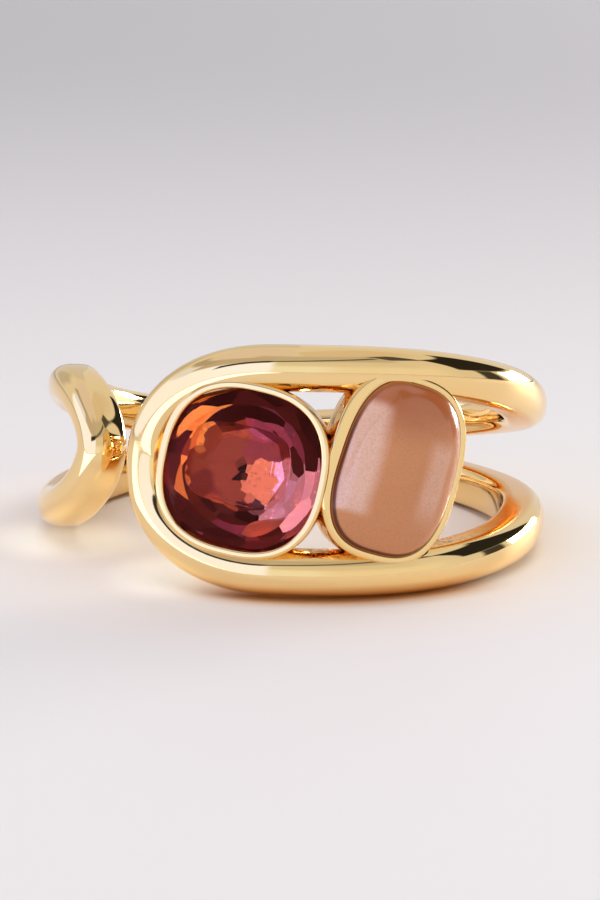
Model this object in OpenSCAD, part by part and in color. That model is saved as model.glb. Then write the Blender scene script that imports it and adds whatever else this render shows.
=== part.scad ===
/* [Finger hole and wire] */
// Inside diameter of the ring
hole_d = 17.5; // [16:0.1:20]
// Depth of the wire outside its centre line, on its domed side
wire_out = 0.97; // [0.8:0.01:1.2]
// Depth of the wire inside its centre line, on its flat side
wire_in = 0.89; // [0.7:0.01:1.1]
// Half width of the wire round the front of the ring
wire_front = 0.94; // [0.8:0.01:1.1]
// Half width of the wire at the back of the ring
wire_back = 0.82; // [0.7:0.01:1]
// Half width of the wire round the second end
wire_second = 0.86; // [0.7:0.01:1]
// Squareness of the domed side, 2 is a true ellipse
dome_power = 2.35; // [2:0.05:3]
// Squareness of the flat side
flat_power = 4; // [3:0.1:5]

/* [Loop] */
// Angle round the ring from its front to the front end's tip
front_tip = -41.6; // [-46:0.1:-38]
// Angle round the ring from its front to the second end's tip
second_tip = 309.7; // [306:0.1:312]
// Length in which the front end rounds off
front_round = 5.2; // [4.4:0.1:6]
// Length in which the second end rounds off
second_round = 5.4; // [4:0.1:6]
// Squareness of the rounded front end
front_power = 2.15; // [2:0.05:2.5]
// Squareness of the rounded second end
second_power = 1.85; // [1.7:0.05:2.2]
// How far the second end is sprung up beside the front end
second_lift = 0.43; // [0:0.01:1]
// How far the second end's upper rail is drawn in towards the finger
second_tuck = 0.35; // [0:0.05:0.5]
// Half distance between the rails at the front
spread_front = 4.07; // [3.8:0.01:4.4]
// Half distance between the rails at the right
spread_right = 2.28; // [1.9:0.01:2.6]
// Half distance between the rails at the back, where they run together
spread_back = 0.5; // [0.3:0.01:0.7]
// Half distance between the rails at the left
spread_left = 2.41; // [2.1:0.01:2.8]

/* [Settings] */
// Distance from the ring's axis to the plane of the rims
rim_r = 10.55; // [10.4:0.05:10.9]
// Width of the rims round the stones
rim_w = 0.33; // [0.25:0.01:0.45]
// Height of the lip that folds over a stone's edge
lip_h = 0.25; // [0.15:0.01:0.35]
// Depth of the cups behind the plane of the rims
cup_depth = 1.35; // [1.1:0.05:1.6]
// Thickness of the cups' floors
cup_floor = 0.22; // [0.15:0.01:0.4]
// Gap all round a stone in its cup
stone_gap = 0.04; // [0.02:0.01:0.08]
// How far a stone's edge reaches under the lip
stone_hold = 0.09; // [0.05:0.01:0.15]

/* [Faceted stone] */
// Angle round the ring from its front
facet_angle = -10.9; // [-14:0.1:-8]
// Half width of what shows inside the rim
facet_half_w = 3.12; // [2.9:0.01:3.3]
// Half height of what shows inside the rim
facet_half_h = 3.18; // [2.9:0.01:3.3]
// Squareness of the cushion outline
facet_power = 2.55; // [2.2:0.05:3]
// Clockwise turn of the stone in the loop
facet_turn = 11; // [0:1:20]
// Height of the table above the rim
table_rise = 0.34; // [0.2:0.01:0.6]
// Share of the width that the table takes
table_share = 0.6; // [0.5:0.01:0.7]

/* [Cabochon] */
// Angle round the ring from its front
cabochon_angle = 23; // [20:0.1:26]
// Half width of what shows inside the rim
cabochon_half_w = 2.58; // [2.3:0.01:2.8]
// Half height of what shows inside the rim
cabochon_half_h = 3.46; // [3.2:0.01:3.6]
// Squareness of the tablet outline
cabochon_power = 2.8; // [2.2:0.05:3.4]
// Clockwise turn of the stone in the loop
cabochon_turn = 14.6; // [8:0.2:20]
// Lift of the stone above the middle of the loop
cabochon_lift = 0.15; // [-0.2:0.01:0.3]
// How far the left side of the opening is drawn in halfway up, and twice as far at its top
cabochon_draw = 0.2; // [0:0.01:0.3]
// Height of the dome above the rim
dome_rise = 0.95; // [0.6:0.05:1.3]

/* [Rest] */
// How far the ring leans back when it lies on its side
lean_back = 10.25; // [8:0.01:12]
// How far the ring leans to its right when it lies on its side
lean_right = -0.41; // [-2:0.01:2]

/* [Smoothness] */
// Sides of the wire's section
wire_sides = 18; // [12:2:20]
// Steps round each quarter of a rounded end
end_steps = 12; // [8:1:14]
// Steps along a rail between the two ends
rail_steps = 58; // [40:1:66]
// Sides of a stone's outline and of its cup
outline_sides = 40; // [24:4:48]

/* [Hidden] */

centre_r = hole_d / 2 + wire_in;
front_start = along(front_tip) + wire_front;
second_start = along(second_tip) - wire_second;

// Columns of the rails table: angle round the ring, half distance between the rails
ANGLE = 0;
SPREAD = 1;
rails = [
    [-45, 0.95 * spread_front],
    [0, spread_front],
    [30, 0.97 * spread_front],
    [60, 0.81 * spread_front],
    [90, spread_right],
    [137, 0.57 * spread_right],
    [180, spread_back],
    [222, 0.49 * spread_left],
    [270, spread_left],
    [300, 1.25 * spread_left],
];

// Wire table: angle round the ring, half width of the wire there
wire = [[-60, wire_front], [60, wire_front], [180, wire_back], [270, wire_second], [330, wire_second]];

// Angles between which the second end springs up, and between which it is drawn in
lift_from = 235;
lift_to = second_tip;
tuck_from = 215;
tuck_to = 262;

// Angles between which the two rails are one solid shank, and its share of the wire's section
web_from = 158;
web_to = 203;
web_ramp = 14;
web_steps = 18;
web_share = 0.96;

// How far a stone's edge and its pocket reach past what shows inside the rim
edge_grow = stone_hold;
pocket_grow = stone_hold + stone_gap;
pocket_floor = cup_floor - cup_depth;

// Small sizes of the settings: the rim's rounding and its shoulder, the cup's draw towards its back,
// the thickness of a layer, and how far a cut runs past the metal
rim_round = 0.1;
rim_shoulder = 0.03;
cup_taper = 0.1;
slice = 0.02;
overshoot = 1;

// Bridge of solder in the notch between the two cups
bridge_angle = 6.2;
bridge_top = 1.45;
bridge_bottom = -1.95;
bridge_r = 10.3;
bridge_half_w = 0.45;

// Faceted stone: heights from the plane of the rim, and shares of its width at each layer of corners
girdle_h = 0.12;
girdle_top = -lip_h - stone_gap;
stone_floor = pocket_floor + stone_gap;
main_facets = 8;
crown_share = 0.82;
crown_rise = 0.45;
pavilion_share = 0.72;
culet_share = 0.3;

// Cabochon: layers up its dome, the dome's squareness from the side, and the share of its height that is kept
dome_steps = 8;
dome_power_up = 2.3;
dome_share = 0.985;

function along(angle) = angle * PI / 180 * centre_r;
function angle_at(s) = s / centre_r * 180 / PI;
function signed_power(v, p) = sign(v) * pow(abs(v), p);
function smooth(t) = t * t * (3 - 2 * t);
function clamp(t) = min(1, max(0, t));

// Smooth curve through the rows of a table
function row_before(t, a, i = 0) = i < len(t) - 2 && a > t[i + 1][ANGLE] ? row_before(t, a, i + 1) : i;
function slope_at(t, i) =
    let(b = max(0, i - 1), f = min(len(t) - 1, i + 1))
    (t[f][SPREAD] - t[b][SPREAD]) / (t[f][ANGLE] - t[b][ANGLE]);
function spread_at(a) =
    let(
        i = row_before(rails, a),
        gap = rails[i + 1][ANGLE] - rails[i][ANGLE],
        u = clamp((a - rails[i][ANGLE]) / gap)
    )
    rails[i][SPREAD] * (1 - smooth(u)) + rails[i + 1][SPREAD] * smooth(u)
    + gap * slope_at(rails, i) * u * pow(1 - u, 2)
    - gap * slope_at(rails, i + 1) * u * u * (1 - u);
function lift_at(a) = second_lift * smooth(clamp((a - lift_from) / (lift_to - lift_from)));
function tuck_at(a, z) =
    let(share = smooth(clamp((a - tuck_from) / (tuck_to - tuck_from))))
    second_tuck * share * ((z - lift_at(a)) / spread_at(a) + 1) / 2;

// Centre line of one rail, unrolled: distance along the ring and height, side is 1 above and -1 below
function end_point(start, size, power, t, side) =
    let(s = start + size * (1 - pow(cos(t), 2 / power)), a = angle_at(s))
    [s, side * spread_at(a) * pow(sin(t), 2 / power) + lift_at(a)];
function rail_path(side) =
    let(s0 = front_start + front_round, s1 = second_start - second_round)
    concat(
        [for (k = [0:end_steps - 1])
            end_point(front_start, front_round, front_power, 90 * k / end_steps, side)],
        [for (k = [0:rail_steps])
            let(s = s0 + (s1 - s0) * k / rail_steps, a = angle_at(s))
            [s, side * spread_at(a) + lift_at(a)]],
        [for (k = [end_steps - 1:-1:0])
            end_point(second_start, -second_round, second_power, 90 * k / end_steps, side)]
    );

// Section of the wire: distance outwards and distance across
function section(half_w) = [
    for (k = [0:wire_sides - 1])
    let(t = (k + 0.5) * 360 / wire_sides, p = 2 / (cos(t) > 0 ? dome_power : flat_power))
    [(cos(t) > 0 ? wire_out : wire_in) * signed_power(cos(t), p), half_w * signed_power(sin(t), p)]
];

// One ring of the wire's skin: the section set square to the path at a point
function wire_ring(at, way) =
    let(
        a = angle_at(at[0]),
        d = way / norm(way),
        out = [sin(a), -cos(a), 0],
        across = [d[1] * cos(a), d[1] * sin(a), -d[0]]
    )
    [for (q = section(lookup(a, wire)))
        out * (centre_r - tuck_at(a, at[1]) + q[0]) + across * q[1] + [0, 0, at[1]]];
function rail_rings(side) =
    let(path = rail_path(side), last = len(path) - 1)
    [for (k = [0:last])
        wire_ring(path[k], k == 0 ? [0, side] : k == last ? [0, -side] : path[k + 1] - path[k - 1])];

// Outline of a stone or cup
function outline(half_w, half_h, power, grow, sides = outline_sides) = [
    for (k = [0:sides - 1])
    let(
        t = k * 360 / sides,
        p = [half_w * signed_power(cos(t), 2 / power), half_h * signed_power(sin(t), 2 / power)],
        n = [signed_power(cos(t), 2 - 2 / power) / half_w, signed_power(sin(t), 2 - 2 / power) / half_h]
    )
    p + grow * n / norm(n)
];

// Outline of the opening in a rim, its left side drawn in towards the top
function opening(half_w, half_h, power, grow, draw) = [
    for (p = outline(half_w, half_h, power, grow))
    [p[0] - draw * min(0, p[0]) / half_w * (1 + p[1] / half_h), p[1]]
];
function tablet() = opening(cabochon_half_w, cabochon_half_h, cabochon_power, edge_grow, cabochon_draw);

// A point of a setting's own frame, x to the right, y up and z outwards, put on the ring
function on_ring(p, angle, lift, turn) =
    let(x = p[0] * cos(turn) + p[1] * sin(turn), y = p[1] * cos(turn) - p[0] * sin(turn), r = rim_r + p[2])
    [r * sin(angle) + x * cos(angle), x * sin(angle) - r * cos(angle), y + lift];

// The ring leans back and to its right until it lies on the rails, then it is set on z = 0
function leaned(p) =
    let(y = p[1] * cos(lean_back) + p[2] * sin(lean_back), z = p[2] * cos(lean_back) - p[1] * sin(lean_back))
    [p[0] * cos(lean_right) + z * sin(lean_right), y, z * cos(lean_right) - p[0] * sin(lean_right)];
rail_points = [for (side = [-1, 1]) for (r = rail_rings(side)) for (p = r) leaned(p)];
facet_points = [
    for (q = outline(facet_half_w, facet_half_h, facet_power, rim_w))
    leaned(on_ring([q[0], q[1], -rim_round], facet_angle, 0, facet_turn))
];
dome_points = [
    for (q = dome_layer(dome_steps))
    leaned(on_ring([q[0], q[1], q[2]], cabochon_angle, cabochon_lift, cabochon_turn))
];
all_points = concat(rail_points, facet_points, dome_points);
low = [for (i = [0:2]) min([for (p = all_points) p[i]])];
high = [for (i = [0:2]) max([for (p = all_points) p[i]])];
settle = [-(low[0] + high[0]) / 2, -(low[1] + high[1]) / 2, -low[2]];

// One layer of the cabochon, k counts up from the girdle to the top of the dome
function dome_layer(k) =
    let(
        u = k / dome_steps * dome_share,
        shrink = pow(1 - pow(u, dome_power_up), 1 / dome_power_up),
        z = girdle_top + (dome_rise - girdle_top) * u
    )
    [for (q = tablet()) [q[0] * shrink, q[1] * shrink, z]];

module rest() {
    translate(settle) rotate([0, lean_right, 0]) rotate([-lean_back, 0, 0]) children();
}

module placed(angle, lift, turn) {
    rotate([0, 0, angle]) translate([0, -rim_r, lift]) rotate([90, 0, 0]) rotate([0, 0, -turn]) children();
}

// A closed skin through rings of points that all have the same count
module loft(rings) {
    n = len(rings[0]);
    m = len(rings);
    polyhedron(
        points = [for (r = rings) for (p = r) p],
        faces = concat(
            [[for (i = [0:n - 1]) i]],
            [for (j = [0:m - 2]) for (i = [0:n - 1])
                [j * n + i, (j + 1) * n + i, (j + 1) * n + (i + 1) % n]],
            [for (j = [0:m - 2]) for (i = [0:n - 1])
                [j * n + i, (j + 1) * n + (i + 1) % n, j * n + (i + 1) % n]],
            [[for (i = [n - 1:-1:0]) (m - 1) * n + i]]
        )
    );
}

module layer(z, points) {
    translate([0, 0, z]) linear_extrude(slice) polygon([for (q = points) [q[0], q[1]]]);
}

// Outside of a cup: straight wall, rounded rim and a back that draws in a little
module cup_outside(half_w, half_h, power) {
    hull() {
        layer(-slice, outline(half_w, half_h, power, rim_w - rim_round));
        layer(-rim_shoulder, outline(half_w, half_h, power, rim_w - rim_shoulder));
        layer(-rim_round, outline(half_w, half_h, power, rim_w));
        layer(-cup_depth + rim_round, outline(half_w, half_h, power, rim_w - cup_taper));
        layer(-cup_depth, outline(half_w, half_h, power, rim_w - cup_taper - rim_round));
    }
}

// Inside of a cup: the flared mouth, the straight lip and the pocket for the stone under it
module cup_inside(half_w, half_h, power, draw) {
    hull() {
        layer(-rim_round, opening(half_w, half_h, power, 0, draw));
        layer(0, opening(half_w, half_h, power, rim_round, draw));
        layer(overshoot, opening(half_w, half_h, power, rim_round, draw));
    }
    hull() {
        layer(-lip_h - 2 * slice, opening(half_w, half_h, power, 0, draw));
        layer(-rim_round, opening(half_w, half_h, power, 0, draw));
    }
    hull() {
        layer(-lip_h, opening(half_w, half_h, power, pocket_grow, draw));
        layer(pocket_floor, opening(half_w, half_h, power, pocket_grow, draw));
    }
}

module facet_place() {
    placed(facet_angle, 0, facet_turn) children();
}

module cabochon_place() {
    placed(cabochon_angle, cabochon_lift, cabochon_turn) children();
}

// Share of the wire's depth at which the two rails' skins cross, and that share filled up along the shank
function groove_share(a, power) =
    pow(1 - pow(min(1, spread_at(a) / lookup(a, wire)), power), 1 / power);
function web_fill(a, power) =
    let(u = smooth(clamp(min(a - web_from, web_to - a) / web_ramp)))
    web_share * (u + (1 - u) * groove_share(a, power));

// Section of the solid shank at the back, which fills the groove between the two rails
function web_ring(a) =
    let(
        out = [sin(a), -cos(a), 0],
        h = [0, 0, spread_at(a)],
        inner = out * (centre_r - wire_in * web_fill(a, flat_power)),
        outer = out * (centre_r + wire_out * web_fill(a, dome_power))
    )
    [inner - h, inner + h, outer + h, outer - h];

module back_web() {
    loft([for (k = [0:web_steps]) web_ring(web_from + (web_to - web_from) * k / web_steps)]);
}

// Metal that joins the two cups behind their rims
module bridge() {
    rotate([0, 0, bridge_angle])
        translate([-bridge_half_w, -bridge_r, bridge_bottom])
        cube([2 * bridge_half_w, bridge_r - rim_r + cup_depth, bridge_top - bridge_bottom]);
}

module band() {
    color("gold") rest() difference() {
        union() {
            for (side = [-1, 1]) loft(rail_rings(side));
            back_web();
            bridge();
            facet_place() cup_outside(facet_half_w, facet_half_h, facet_power);
            cabochon_place() cup_outside(cabochon_half_w, cabochon_half_h, cabochon_power);
        }
        facet_place() cup_inside(facet_half_w, facet_half_h, facet_power, 0);
        cabochon_place() cup_inside(cabochon_half_w, cabochon_half_h, cabochon_power, cabochon_draw);
    }
}

// Corners of one layer of facets: count of them on the cushion outline, the first turned by twist of a step
function facet_layer(count, share, z, twist = 0) = [
    for (k = [0:count - 1])
    let(
        t = (k + twist) * 360 / count,
        r = 1 / pow(pow(abs(cos(t)), facet_power) + pow(abs(sin(t)), facet_power), 1 / facet_power)
    )
    [(facet_half_w + edge_grow) * share * r * cos(t), (facet_half_h + edge_grow) * share * r * sin(t), z]
];

// The solid that wraps all the corners tightly
module cut_from(corners) {
    hull() polyhedron(points = corners, faces = [[for (i = [0:len(corners) - 1]) i]]);
}

module faceted_stone() {
    color("mediumvioletred") rest() facet_place() cut_from(concat(
        facet_layer(main_facets, table_share, table_rise, 0.5),
        facet_layer(main_facets, crown_share, crown_rise * table_rise),
        facet_layer(2 * main_facets, 1, girdle_top),
        facet_layer(2 * main_facets, 1, girdle_top - girdle_h),
        facet_layer(main_facets, pavilion_share, (girdle_top - girdle_h + stone_floor) / 2, 0.5),
        facet_layer(main_facets, culet_share, stone_floor)
    ));
}

module cabochon_stone() {
    color("rosybrown") rest() cabochon_place()
        loft(concat(
            [[for (q = tablet()) [q[0], q[1], stone_floor]]],
            [for (k = [0:dome_steps]) dome_layer(k)]
        ));
}

band();
faceted_stone();
cabochon_stone();
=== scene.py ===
"""Dresses a wrap ring: polished gold wire round a garnet cushion and a peach cabochon in rimmed cups.

Lengths in the ring's classes are millimetres in its own frame, whose Z is the axis of the finger hole
and whose -Y is the front. Seat turns them into the row frame, in metres. The studio, its floor and the
masks of the gold are in the row frame, in metres.
"""

import logging
import math
from dataclasses import dataclass, field
from enum import Enum
from typing import ClassVar, Iterable, Sequence

import bmesh
import bpy
import numpy as np
from mathutils import Matrix, Vector


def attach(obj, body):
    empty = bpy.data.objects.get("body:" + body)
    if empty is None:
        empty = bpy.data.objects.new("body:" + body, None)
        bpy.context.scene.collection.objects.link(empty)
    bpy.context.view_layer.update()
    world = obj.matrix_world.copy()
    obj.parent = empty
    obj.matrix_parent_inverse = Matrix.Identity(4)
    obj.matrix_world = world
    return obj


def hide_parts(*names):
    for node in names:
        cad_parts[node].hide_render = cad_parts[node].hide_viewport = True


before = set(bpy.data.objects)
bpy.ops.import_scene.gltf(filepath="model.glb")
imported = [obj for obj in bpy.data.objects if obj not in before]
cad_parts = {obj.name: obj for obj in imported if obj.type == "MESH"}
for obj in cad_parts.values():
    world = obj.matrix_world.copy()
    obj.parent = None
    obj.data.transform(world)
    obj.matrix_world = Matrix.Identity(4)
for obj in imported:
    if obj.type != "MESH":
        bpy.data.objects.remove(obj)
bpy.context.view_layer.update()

log = logging.getLogger("wrap_ring")

MM = 0.001
BODY = "root"
# Name of the stored share of painted shade and reflection in the gold's crevices.
CREVICE_SHADE = "crevice_shade"

Colour = tuple[float, float, float]
Pair = tuple[float, float]
Faces = list[tuple[int, ...]]


class Slot(Enum):
    """The record's material slots."""

    GOLD = "polished_gold"
    GARNET = "garnet_glass"
    PEACH = "peach_glass"


class Solid(Enum):
    """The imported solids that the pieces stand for."""

    BAND = "band"
    FACETED = "faceted_stone"
    CABOCHON = "cabochon_stone"


# Node trees.


class Value:
    """A socket of a node tree that can be used in Python expressions."""

    def __init__(self, net: "Net", socket: bpy.types.NodeSocket) -> None:
        """Keeps the tree and one of its output sockets."""
        self.net = net
        self.socket = socket

    def _math(self, operation: str, *terms: "Value | float") -> "Value":
        """Adds a Math node over the terms."""
        return self.net.math(operation, *terms)

    def __add__(self, other: "Value | float") -> "Value":
        """Self plus other."""
        return self._math("ADD", self, other)

    __radd__ = __add__

    def __sub__(self, other: "Value | float") -> "Value":
        """Self minus other."""
        return self._math("SUBTRACT", self, other)

    def __rsub__(self, other: "Value | float") -> "Value":
        """Other minus self."""
        return self._math("SUBTRACT", other, self)

    def __mul__(self, other: "Value | float") -> "Value":
        """Self times other."""
        return self._math("MULTIPLY", self, other)

    __rmul__ = __mul__

    def __truediv__(self, other: "Value | float") -> "Value":
        """Self over other."""
        return self._math("DIVIDE", self, other)

    def __rtruediv__(self, other: "Value | float") -> "Value":
        """Other over self."""
        return self._math("DIVIDE", other, self)

    def __pow__(self, other: "Value | float") -> "Value":
        """Self to the power of other."""
        return self._math("POWER", self, other)

    def __gt__(self, other: "Value | float") -> "Value":
        """1 where self is the larger, otherwise 0."""
        return self._math("GREATER_THAN", self, other)

    def ramp(self, low: float, high: float) -> "Value":
        """A smooth step from 0 at low to 1 at high.

        Args:
            low: where the step starts.
            high: where it ends, which may be below low.
        Returns:
            The step's value.
        """
        flip = low > high
        step = self.net.add(
            "ShaderNodeMapRange",
            {"interpolation_type": "SMOOTHSTEP"},
            {"Value": self, "From Min": min(low, high), "From Max": max(low, high)},
        )["Result"]
        return 1.0 - step if flip else step

    def span(self, start: float, full: float, fade: float, end: float) -> "Value":
        """0 up to start, 1 from full to fade, and 0 again from end."""
        return self.ramp(start, full) * self.ramp(end, fade)


class Node:
    """A node whose outputs are read by name."""

    def __init__(self, net: "Net", node: bpy.types.Node) -> None:
        """Keeps the node and its tree."""
        self.net = net
        self.node = node

    def __getitem__(self, name: str | int) -> Value:
        """The output socket of that name or number."""
        return Value(self.net, self.node.outputs[name])


class Net:
    """A shader or geometry tree, filled by expressions."""

    def __init__(self, tree: bpy.types.NodeTree) -> None:
        """Keeps the tree, emptied of its default nodes."""
        self.tree = tree
        tree.nodes.clear()

    def add(
        self,
        kind: str,
        settings: dict[str, object] | None = None,
        inputs: dict[str | int, object] | None = None,
    ) -> Node:
        """Adds a node, sets its settings first and then its sockets.

        Args:
            kind: the node's type.
            settings: the node's own properties.
            inputs: values or Values of its sockets, by name or number.
        Returns:
            The node.
        """
        node = self.tree.nodes.new(kind)
        for key, value in (settings or {}).items():
            setattr(node, key, value)
        for key, value in (inputs or {}).items():
            self.join(value, node.inputs[key])
        return Node(self, node)

    def join(self, value: object, socket: bpy.types.NodeSocket) -> None:
        """Links a Value to a socket, or sets a plain value on it.

        Args:
            value: the Value or the plain value.
            socket: the input socket.
        """
        if isinstance(value, Value):
            self.tree.links.new(value.socket, socket)
        else:
            socket.default_value = value

    def math(self, operation: str, *terms: "Value | float") -> Value:
        """A Math node over the terms."""
        return self.add("ShaderNodeMath", {"operation": operation}, dict(enumerate(terms)))[0]

    def vector(self, operation: str, *terms: object, output: str = "Vector") -> Value:
        """A Vector Math node over the terms."""
        settings = {"operation": operation}
        return self.add("ShaderNodeVectorMath", settings, dict(enumerate(terms)))[output]

    def scaled(self, vector: Value, factor: "Value | float") -> Value:
        """A vector times a number."""
        sockets = {"Vector": vector, "Scale": factor}
        return self.add("ShaderNodeVectorMath", {"operation": "SCALE"}, sockets)[0]

    def joined(self, x: "Value | float", y: "Value | float", z: "Value | float") -> Value:
        """A vector from its three parts."""
        return self.add("ShaderNodeCombineXYZ", {}, {0: x, 1: y, 2: z})[0]

    def parts(self, vector: Value) -> tuple[Value, Value, Value]:
        """The three parts of a vector."""
        split = self.add("ShaderNodeSeparateXYZ", {}, {0: vector})
        return split["X"], split["Y"], split["Z"]

    def blend(self, factor: "Value | float", first: object, second: object, way: str = "MIX") -> Value:
        """Mixes two colours.

        Args:
            factor: 0 gives first, 1 gives second.
            first: a colour or Value.
            second: a colour or Value.
            way: the blend type.
        Returns:
            The mixed colour.
        """
        settings = {"data_type": "RGBA", "blend_type": way}
        first, second = (c if isinstance(c, Value) else (*c, 1.0) for c in (first, second))
        return self.add("ShaderNodeMix", settings, {0: factor, 6: first, 7: second})[2]

    def shaded(self, colour: Value, level: Value) -> Value:
        """A colour times a number that varies."""
        grey_level = self.add("ShaderNodeCombineColor", {}, {0: level, 1: level, 2: level})[0]
        return self.blend(1.0, colour, grey_level, "MULTIPLY")

    def noise(self, where: Value, scale: float, detail: float = 2.0, roughness: float = 0.5) -> Value:
        """Noise between 0 and 1.

        Args:
            where: the coordinates.
            scale: cycles for each unit of them.
            detail: octaves.
            roughness: share that each octave keeps.
        Returns:
            The noise's value.
        """
        sockets = {"Vector": where, "Scale": scale, "Detail": detail, "Roughness": roughness}
        return self.add("ShaderNodeTexNoise", {}, sockets)["Fac"]

    def spot(self, where: Value, centre: Sequence[float], size: Sequence[float], edge: float = 0.35) -> Value:
        """1 inside an upright ellipse's cylinder and 0 outside, with a soft edge.

        Args:
            where: the coordinates.
            centre: its middle along X and Y, in their unit.
            size: its half sizes along X and Y.
            edge: share of the size over which it fades.
        Returns:
            The mask.
        """
        offset = self.vector("SUBTRACT", where, (*centre, 0.0))
        offset = self.vector("MULTIPLY", offset, (1 / size[0], 1 / size[1], 0.0))
        return self.vector("LENGTH", offset, output="Value").ramp(1 + edge, 1 - edge)


# The ring's seat.


@dataclass(frozen=True)
class Seat:
    """How the ring lies on the surface: its lean, and where the middle of its finger hole comes."""

    centre: tuple[float, float, float] = (-0.0194, 0.3219, 3.3492)
    lean_back: float = 10.25
    lean_right: float = -0.41

    def turn(self) -> np.ndarray:
        """The turn from the ring's frame to the row frame.

        Returns:
            A 3 by 3 matrix.
        """
        back = Matrix.Rotation(math.radians(-self.lean_back), 3, "X")
        right = Matrix.Rotation(math.radians(self.lean_right), 3, "Y")
        return np.array(right @ back)

    def place(self, points: np.ndarray) -> np.ndarray:
        """Points of the ring's frame in the row frame.

        Args:
            points: rows of millimetres.
        Returns:
            Rows of metres.
        """
        return (np.asarray(points) @ self.turn().T + np.array(self.centre)) * MM

    def direct(self, vectors: np.ndarray) -> np.ndarray:
        """Directions of the ring's frame in the row frame."""
        return np.asarray(vectors) @ self.turn().T


SEAT = Seat()


# Meshes and pieces.


def signed_power(value: np.ndarray, power: float) -> np.ndarray:
    """A power that keeps the sign."""
    return np.sign(value) * np.abs(value) ** power


def smooth(t: np.ndarray) -> np.ndarray:
    """Smooth step of a share that is first held between 0 and 1."""
    t = np.clip(t, 0, 1)
    return t * t * (3 - 2 * t)


def make_mesh(
    name: str, points: np.ndarray, faces: Iterable[Sequence[int]], rounded: bool = True
) -> bpy.types.Mesh:
    """A mesh from points and faces.

    Args:
        name: the mesh's name.
        points: rows of metres.
        faces: corner numbers, anticlockwise from outside.
        rounded: smooth shading.
    Returns:
        The mesh.
    """
    mesh = bpy.data.meshes.new(name)
    mesh.from_pydata([tuple(map(float, p)) for p in points], [], [tuple(map(int, f)) for f in faces])
    mesh.polygons.foreach_set("use_smooth", [rounded] * len(mesh.polygons))
    mesh.update()
    return mesh


def mark_crevice_shade(mesh: bpy.types.Mesh, share: Sequence[float]) -> None:
    """Stores how far each point lies in the gold's painted shade and reflection, from 0 to 1, for the gold to
    darken by.
    """
    mesh.attributes.new(CREVICE_SHADE, "FLOAT", "POINT").data.foreach_set("value", share)


def add_object(name: str, data: bpy.types.ID) -> bpy.types.Object:
    """Puts a mesh, a light or a camera in the scene as an object at the origin.

    Args:
        name: the object's name.
        data: what it shows.
    Returns:
        The object.
    """
    thing = bpy.data.objects.new(name, data)
    bpy.context.scene.collection.objects.link(thing)
    return thing


def finish_piece(piece: bpy.types.Object, solid: Solid) -> None:
    """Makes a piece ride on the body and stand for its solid.

    Args:
        piece: the piece, in its place.
        solid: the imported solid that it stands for.
    """
    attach(piece, BODY)
    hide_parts(solid.value)
    log.info("%s: %d faces", piece.name, len(piece.data.polygons))


def at_height(ring: np.ndarray, z: float) -> np.ndarray:
    """A flat ring of points at a height."""
    return np.column_stack([ring, np.full(len(ring), z)])


def grid_faces(rows: int, columns: int) -> Faces:
    """Faces of a skin over rings of points, each ring closed on itself.

    Args:
        rows: count of rings.
        columns: points in a ring.
    Returns:
        The faces' corner numbers.
    """
    faces = []
    for near in range(0, (rows - 1) * columns, columns):
        far = near + columns
        for c in range(columns):
            n = (c + 1) % columns
            faces.append((near + c, near + n, far + n, far + c))
    return faces


def flat_ended(rows: int, columns: int) -> Faces:
    """Faces of a skin over rings, with one face across each end.

    Args:
        rows: count of rings.
        columns: points in a ring.
    Returns:
        The faces' corner numbers.
    """
    last = (rows - 1) * columns
    ends = [tuple(range(columns - 1, -1, -1)), tuple(range(last, last + columns))]
    return grid_faces(rows, columns) + ends


def point_ended(rings: list[np.ndarray], first_z: float, last_z: float) -> tuple[np.ndarray, Faces]:
    """A skin over rings, closed at each end by a fan round a point on the axis.

    Args:
        rings: rows of x, y and z for each ring.
        first_z: height of the point that closes the first ring.
        last_z: height of the point that closes the last ring.
    Returns:
        The points, those two last, and the faces.
    """
    sides = len(rings[0])
    first = len(rings) * sides
    faces = grid_faces(len(rings), sides)
    for c in range(sides):
        n = (c + 1) % sides
        faces += [(first, n, c), (first + 1, first - sides + c, first - sides + n)]
    return np.concatenate([*rings, [[0, 0, first_z]], [[0, 0, last_z]]]), faces


# Finishes.


class Finish:
    """What a surface looks like."""

    name: ClassVar[str]

    def surface(self, net: Net) -> Node:
        """Builds the surface shader.

        Args:
            net: the material's tree.
        Returns:
            The shader's last node.
        """
        raise NotImplementedError

    def material(self) -> bpy.types.Material:
        """Makes a material that ends in the surface shader.

        Returns:
            The material.
        """
        material = bpy.data.materials.new(self.name)
        material.use_nodes = True
        net = Net(material.node_tree)
        net.add("ShaderNodeOutputMaterial", {}, {"Surface": self.surface(net)[0]})
        return material


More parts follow.
